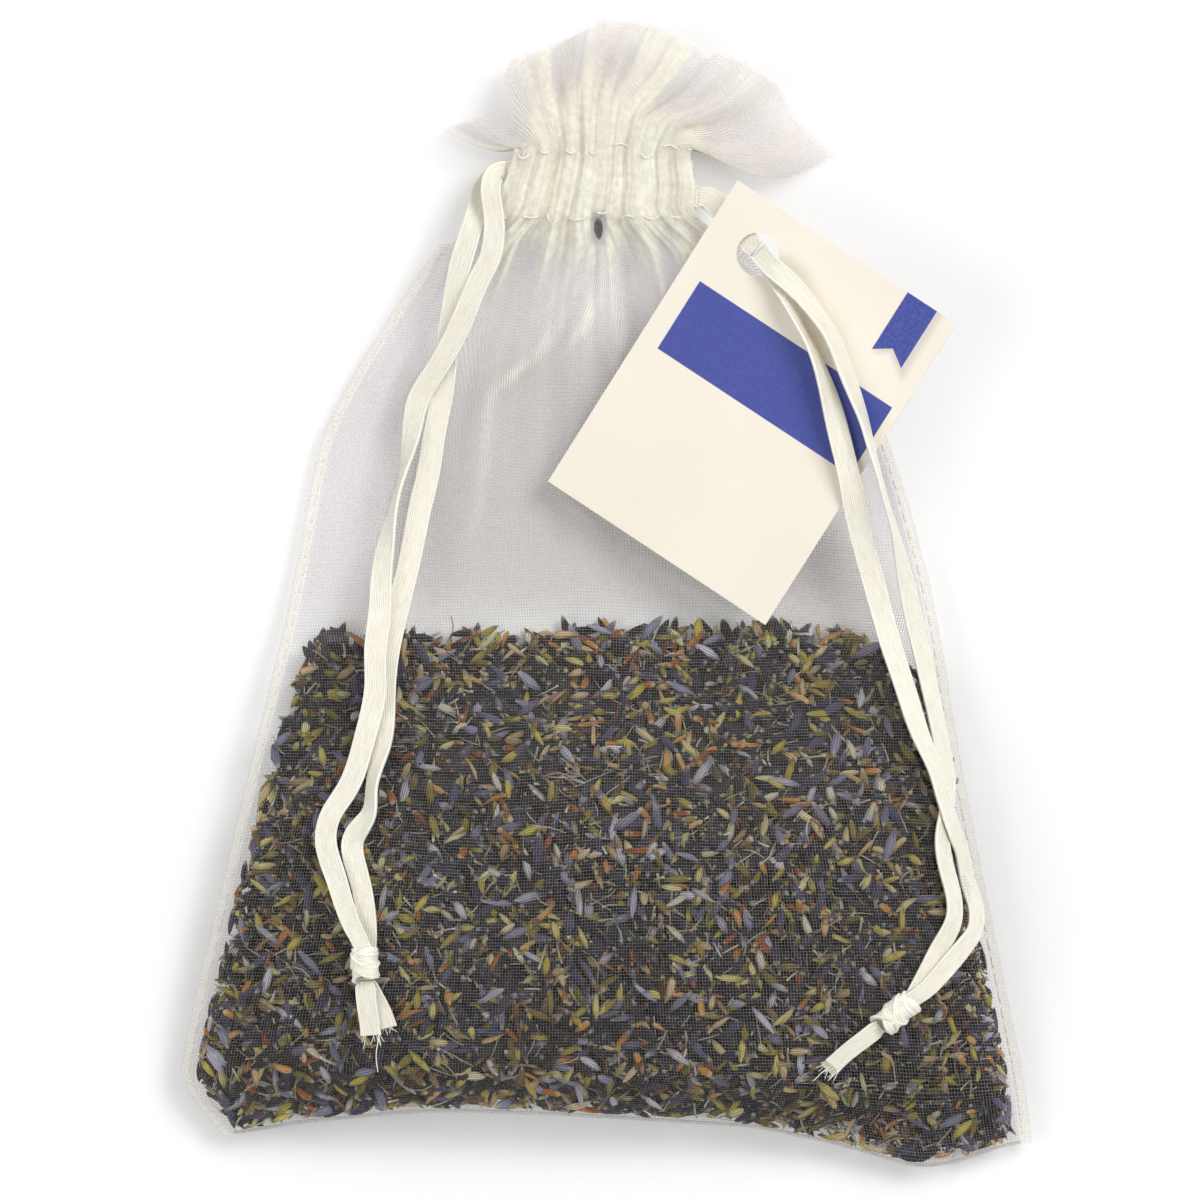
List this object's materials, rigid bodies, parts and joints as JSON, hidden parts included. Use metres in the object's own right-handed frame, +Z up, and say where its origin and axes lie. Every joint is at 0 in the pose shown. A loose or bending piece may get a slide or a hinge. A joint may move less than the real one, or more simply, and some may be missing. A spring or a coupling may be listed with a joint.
{
  "type": "lavender sachet",
  "caption": "Drawstring bag of sheer organza, part filled with dried lavender, drawn shut by knotted ribbons and carrying a punched card tag.",
  "frame": {"origin": "the middle of the bag, ribbons and tag left out, on the surface that it lies on", "axes": "+X to the right across the bag, towards the tag; +Y from the bottom fold to the ruffle; +Z up through the front of the bag"},
  "size_m": [0.1104, 0.149, 0.0215],
  "materials": {
    "organza": "satin",
    "doubled_organza": "satin",
    "buds": "matte",
    "ribbon": "satin",
    "card": "matte"
  },
  "bodies": {
    "bag": {"front_panel": "organza", "back_panel": "organza", "front_facing": "doubled_organza", "back_facing": "doubled_organza", "left_side_seam": "doubled_organza", "right_side_seam": "doubled_organza", "bottom_fold": "organza", "lavender_fill": "buds"},
    "left_loop": {"left_ribbon_loop": "ribbon"},
    "left_ends": {"left_strand_1": "ribbon", "left_strand_2": "ribbon", "left_knot": "ribbon", "left_tail_1": "ribbon", "left_tail_2": "ribbon"},
    "right_loop": {"right_ribbon_loop": "ribbon", "right_lead_1": "ribbon", "right_lead_2": "ribbon"},
    "tag": {"hang_tag": "card"},
    "right_ends": {"right_strand_1": "ribbon", "right_strand_2": "ribbon", "right_knot": "ribbon", "right_tail_1": "ribbon", "right_tail_2": "ribbon"}
  },
  "joints": [
    {"name": "left_ribbon_pull", "type": "slide", "parent": "bag", "child": "left_loop", "axis": [-1, 0, 0], "range_m": [0, 0.002]},
    {"name": "left_ends_lift", "type": "hinge", "parent": "left_loop", "child": "left_ends", "pos_m": [-0.0132, 0.0547, 0.0075], "axis": [-1, 0, 0], "range_deg": [0, 95]},
    {"name": "right_ribbon_pull", "type": "slide", "parent": "bag", "child": "right_loop", "axis": [1, 0, 0], "range_m": [0, 0.002]},
    {"name": "tag_lift", "type": "hinge", "parent": "right_loop", "child": "tag", "pos_m": [0.02261, 0.04931, 0.01323], "axis": [-0.8275, 0.5477, -0.1236], "range_deg": [0, 75]},
    {"name": "right_ends_lift", "type": "hinge", "parent": "tag", "child": "right_ends", "pos_m": [0.01876, 0.04433, 0.01323], "axis": [-0.7833, -0.5875, -0.2032], "range_deg": [0, 95]}
  ]
}
